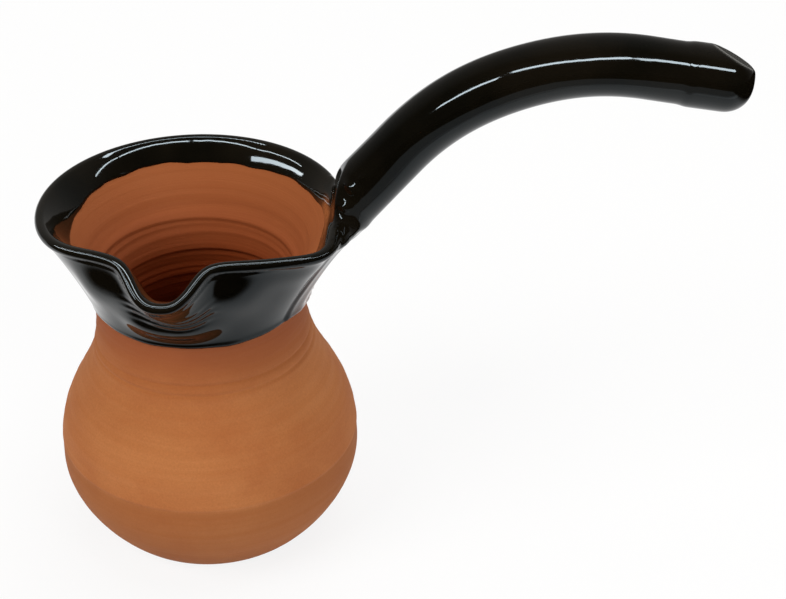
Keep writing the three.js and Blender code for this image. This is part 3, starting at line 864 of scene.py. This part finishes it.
def clay(name, light, dark):
    """Fired clay with rings of the wheel and a darker heel. It is redder under the collar, where painted
    shade also falls, and has painted light inside near the mouth and painted shade deep inside.
    """
    made, tree, shader = material(name)
    height = place_in(tree)["Z"]
    rings = noise(tree, (9, 9, 620), 5, 0.62)
    fine_rings = noise(tree, (30, 30, 2600), 3, 0.6)
    clouds = noise(tree, (34, 34, 48), 4, 0.6, 0.4)
    grain = noise(tree, (1900, 1900, 1900), 4, 0.7)
    colour = mixed(tree, ranged(tree, clouds, 0.34, 0.66), dark, light)
    colour = mixed(tree, ranged(tree, rings, 0.38, 0.62, 0.0, 0.3), colour, dark)
    speckle = ramp(tree, grain, [(0.3, (0.3, 0.3, 0.3)), (0.7, (0.7, 0.7, 0.7))])
    colour = mixed(tree, 0.22, colour, speckle, "OVERLAY")
    heel_edge = maths(tree, "ADD", height, maths(tree, "MULTIPLY", clouds, 0.0016))
    heel = faded(tree, heel_edge, HEEL_FADE, 1.0, 0.0)
    colour = mixed(tree, maths(tree, "MULTIPLY", heel, HEEL_SHARE), colour, toned(dark, HEEL_TONE))
    # Painted shade under the overhanging collar, together with a redder tone of the clay.
    neck_shade_and_red = faded(tree, height, NECK_SHADE_AND_RED_FADE, 0.0, NECK_SHADE_AND_RED_SHARE)
    colour = mixed(tree, neck_shade_and_red, colour, toned(dark, NECK_SHADE_AND_RED_TONE))
    inside = stored(tree, "inside")
    # Painted light on the inside wall near the mouth, where light falls in.
    mouth_light = maths(tree, "MULTIPLY", inside, faded(tree, height, MOUTH_LIGHT_FADE, 0.0, MOUTH_LIGHT_SHARE))
    colour = mixed(tree, mouth_light, colour, toned(light, MOUTH_LIGHT_TONE))
    # Painted shade deep inside the pot, darker and redder further down.
    inside_shade = maths(tree, "MULTIPLY", inside, faded(tree, height, INSIDE_SHADE_FADE, 1.0, 0.0))
    colour = mixed(tree, inside_shade, colour, toned(dark, INSIDE_SHADE_TONE))
    tree.links.new(colour, shader.inputs["Base Color"])
    tree.links.new(ranged(tree, rings, 0.3, 0.7, 0.74, 0.9), shader.inputs["Roughness"])
    shader.inputs["Specular IOR Level"].default_value = 0.3
    normal = bumped(tree, rings, 0.00018, 0.7)
    normal = bumped(tree, fine_rings, 0.00006, 0.6, normal)
    normal = bumped(tree, grain, 0.000035, 0.7, normal)
    tree.links.new(normal, shader.inputs["Normal"])
    return made


def glaze():
    """Dark brown glaze, amber where it is thin, with a pale reflection painted on the knife's cut."""
    made, tree, shader = material("dark_brown_glaze")
    pool = noise(tree, (60, 60, 40), 3, 0.5)
    fine = noise(tree, (240, 240, 170), 2, 0.5)
    colour = mixed(tree, ranged(tree, pool, 0.35, 0.65), GLAZE_DARK, GLAZE_LIGHT)
    patchy = maths(tree, "MULTIPLY", stored(tree, "thin"), ranged(tree, fine, 0.3, 0.62, 0.25, 1.0))
    colour = mixed(tree, patchy, colour, GLAZE_AMBER)
    # A pale reflection painted on the knife's cut.
    colour = mixed(tree, stored(tree, "cut"), colour, CUT_REFLECTION_GREY)
    tree.links.new(colour, shader.inputs["Base Color"])
    tree.links.new(ranged(tree, fine, 0.3, 0.7, 0.035, 0.075), shader.inputs["Roughness"])
    shader.inputs["IOR"].default_value = 1.46
    shader.inputs["Specular IOR Level"].default_value = 0.33
    shader.inputs["Specular Tint"].default_value = (0.78, 0.92, 1.0, 1)
    normal = bumped(tree, pool, 0.00025, 0.5)
    normal = bumped(tree, fine, 0.00003, 0.5, normal)
    tree.links.new(normal, shader.inputs["Normal"])
    return made


# The pieces

def finish_piece(piece, finish, slot, *nodes):
    piece.data.materials.clear()
    piece.data.materials.append(finish)
    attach(piece, "root")
    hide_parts(*nodes)


body = clay_body()
collar_coat, handle_coat = glaze_skin(body)
mark_glaze(collar_coat)
mark_glaze(handle_coat)
clays = {name: clay(name, *pair) for name, pair in CLAY_COLOURS.items()}
glazed = glaze()
finish_piece(body, clays["thrown_body_clay"], "clay", "pot_body")
finish_piece(collar_coat, glazed, "glaze", "collar_glaze")
finish_piece(handle_coat, glazed, "glaze", "handle_glaze")
for name, finish in (("handle", "rolled_coil_clay"), ("handle_luting", "luting_wad_clay")):
    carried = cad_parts[name]
    carried.data.materials.clear()
    carried.data.materials.append(clays[finish])


# The floor, the sheet of painted shade and the room

# The sheets are in millimetres, and the edges of the painted shade are in metres.
STAGE, SHADE_SHEET_BACK, SHADE_SHEET_HEIGHT = 4000, 1500, 1
SHADE_SHEET_SLANT, SHADE_SHEET_WAVE, SHADE_SHEET_FRONT, SHADE_SHEET_RIGHT = 0.385, 0.02, (-0.035, -0.085), (0.2, 0.27)


def sheet(name, back, height):
    ends = ((-STAGE, -STAGE), (STAGE, -STAGE), (STAGE, back), (-STAGE, back))
    corners = [(x, y, height) for x, y in ends]
    return add_mesh(name, corners, [[0, 1, 2, 3]], smooth=False)


def floor():
    """A pale floor that keeps shadows, and that the camera and mirrors see nearly white."""
    piece = sheet("pale_floor", STAGE, 0)
    made, tree, shader = material("pale_floor")
    shader.inputs["Base Color"].default_value = (0.94, 0.94, 0.94, 1)
    shader.inputs["Roughness"].default_value = 0.7
    shader.inputs["Specular IOR Level"].default_value = 0.2
    path = node(tree, "ShaderNodeLightPath")
    seen = maths(tree, "MAXIMUM", path.outputs["Is Camera Ray"], path.outputs["Is Glossy Ray"])
    seen = maths(tree, "MAXIMUM", seen, path.outputs["Is Transmission Ray"])
    glow = node(tree, "ShaderNodeEmission", Strength=1.0)
    glow.inputs["Color"].default_value = (1, 1, 1, 1)
    mix = node(tree, "ShaderNodeMixShader")
    tree.links.new(maths(tree, "MULTIPLY", seen, 0.85), mix.inputs[0])
    tree.links.new(shader.outputs[0], mix.inputs[1])
    tree.links.new(glow.outputs[0], mix.inputs[2])
    tree.links.new(mix.outputs[0], tree.nodes["Material Output"].inputs["Surface"])
    piece.data.materials.append(made)


def painted_shade_sheet():
    """A dark sheet of painted shade in front of the pot, with a soft slanting edge, that shows only in
    reflections.
    """
    piece = sheet("painted_shade_sheet", SHADE_SHEET_BACK, SHADE_SHEET_HEIGHT)
    made, tree, shader = material("painted_shade_sheet")
    shader.inputs["Base Color"].default_value = (0.004, 0.004, 0.004, 1)
    shader.inputs["Roughness"].default_value = 1.0
    shader.inputs["Specular IOR Level"].default_value = 0.0
    place_on = place_in(tree)
    shade_edge_wobble = noise(tree, (30, 30, 30), 3, 0.5)
    across = maths(tree, "ADD", place_on["Y"], maths(tree, "MULTIPLY", place_on["X"], SHADE_SHEET_SLANT))
    across = maths(tree, "ADD", across, maths(tree, "MULTIPLY", shade_edge_wobble, SHADE_SHEET_WAVE))
    front = ranged(tree, across, *SHADE_SHEET_FRONT, smooth=True)
    right = ranged(tree, place_on["X"], *SHADE_SHEET_RIGHT, smooth=True)
    tree.links.new(maths(tree, "MAXIMUM", front, right), shader.inputs["Alpha"])
    piece.data.materials.append(made)
    for kind in ("camera", "diffuse", "transmission", "volume_scatter", "shadow"):
        setattr(piece, "visible_" + kind, False)


def room():
    """A room that is dark in front of the pot and dim behind it."""
    world = bpy.data.worlds.new("room")
    bpy.context.scene.world = world
    world.use_nodes = True
    tree = world.node_tree
    towards_back = ranged(tree, place_in(tree, "Generated")["Y"], -1, 1)
    shade = ramp(tree, towards_back, [
        (0.0, (0.02, 0.02, 0.02)), (0.4, (0.03, 0.03, 0.03)),
        (0.6, (0.16, 0.15, 0.14)), (1.0, (0.3, 0.29, 0.28))])
    tree.links.new(shade, tree.nodes["Background"].inputs["Color"])


# The lamps and the camera, in metres

# Soft boxes that light the clay: name, place, size, watts, colour
SOFT_BOXES = (
    ("soft_left", (-1.6, -1.2, 1.9), (1.6, 1.6), 46, (1, 0.985, 0.96)),
    ("soft_above", (0.5, 0.6, 2.2), (2.2, 2.2), 33, (1, 1, 1)),
    ("soft_front", (1.3, -1.7, 1.2), (1.6, 1.2), 20, (1, 0.97, 0.93)),
)
AIM = (0, 0, 0.05)

# Lamps mirrored in the handle and in the collar: start, end, width, radiance
HANDLE_ROW = (
    ((-1.2, -1.25, 1.1), (-0.5, -1.22, 1.1), 0.14, 32),
    ((-0.38, -1.0, 1.1), (0.34, -0.72, 1.1), 0.14, 32),
    ((0.39, -0.84, 1.1), (0.8, -0.7, 1.1), 0.16, 29),
)
RIM_ROW = (
    ((-3.3, 0.7, 1.1), (-1.25, -0.95, 1.1), 0.2, 26),
    ((-3.6, 0.8, 2.1), (-1.7, -0.8, 2.1), 0.08, 32),
    ((-1.65, -0.82, 2.1), (-0.02, -0.84, 2.1), 0.09, 34),
    ((0.05, -0.84, 2.1), (1.7, -0.34, 2.1), 0.09, 34),
    ((1.74, -0.3, 2.1), (3.6, 0.38, 2.1), 0.08, 32),
)
LIP_ROW = ((-1.3, -0.05, 2.1), (1.5, 0.25, 2.1), 0.2, 29)

# The glow of the table in the handle: middle, size, radiance
TABLE_GLOW = ((0.12, -0.21, 0.003), (0.24, 0.2), 0.45)
CAMERA_PLACE, CAMERA_TILT, CAMERA_NEAR = (0.0496, -0.3957, 0.3218), 57.19 * DEG, 0.01
LENS, SENSOR = 82.81, 36


def area_lamp(name, size, watts, colour=(1, 1, 1)):
    light = bpy.data.lights.new(name, "AREA")
    light.shape = "RECTANGLE"
    light.size, light.size_y = size
    light.energy = watts
    light.color = colour
    made = bpy.data.objects.new(name, light)
    bpy.context.scene.collection.objects.link(made)
    return made


def mirrored_only_in(coat, made):
    lit = bpy.data.collections.new(made.name)
    lit.objects.link(coat)
    made.light_linking.receiver_collection = lit


def soft_box(name, position, size, watts, colour):
    """A soft box that lights the clay and is not mirrored in the glaze."""
    made = area_lamp(name, size, watts, colour)
    made.location = position
    made.rotation_euler = (Vector(AIM) - Vector(position)).to_track_quat("-Z", "Y").to_euler()
    made.visible_glossy = False


def tube(name, coat, start, end, width, radiance):
    """A long lamp from one point to another, turned to the pot and mirrored in one coat of glaze."""
    start, end = Vector(start), Vector(end)
    along = (end - start).normalized()
    middle = (start + end) / 2
    back = middle.normalized()
    back = (back - along * back.dot(along)).normalized()
    size = ((end - start).length, width)
    made = area_lamp(name, size, radiance * math.pi * size[0] * size[1])
    turn = Matrix((along, back.cross(along), back)).transposed()
    made.matrix_world = Matrix.Translation(middle) @ turn.to_4x4()
    mirrored_only_in(coat, made)


def table_glow(coat, middle, size, radiance):
    """The pale table in front of the pot as one coat of glaze mirrors it."""
    made = area_lamp("table_glow", size, radiance * math.pi * size[0] * size[1])
    made.location = middle
    made.rotation_euler = (math.pi, 0, 0)
    made.visible_camera = False
    mirrored_only_in(coat, made)


def look():
    camera = bpy.data.cameras.new("camera")
    camera.sensor_width = SENSOR
    camera.lens = LENS
    camera.clip_start = CAMERA_NEAR
    made = bpy.data.objects.new("camera", camera)
    made.location = CAMERA_PLACE
    made.rotation_euler = (CAMERA_TILT, 0, 0)
    bpy.context.scene.collection.objects.link(made)
    bpy.context.scene.camera = made
    bpy.context.scene.view_settings.view_transform = "Standard"


floor()
painted_shade_sheet()
room()
for box in SOFT_BOXES:
    soft_box(*box)
for k, row in enumerate(HANDLE_ROW):
    tube(f"handle_row_{k + 1}", handle_coat, *row)
for k, row in enumerate(RIM_ROW):
    tube(f"rim_row_{k + 1}", collar_coat, *row)
table_glow(handle_coat, *TABLE_GLOW)
tube("lip_row", collar_coat, *LIP_ROW)
look()
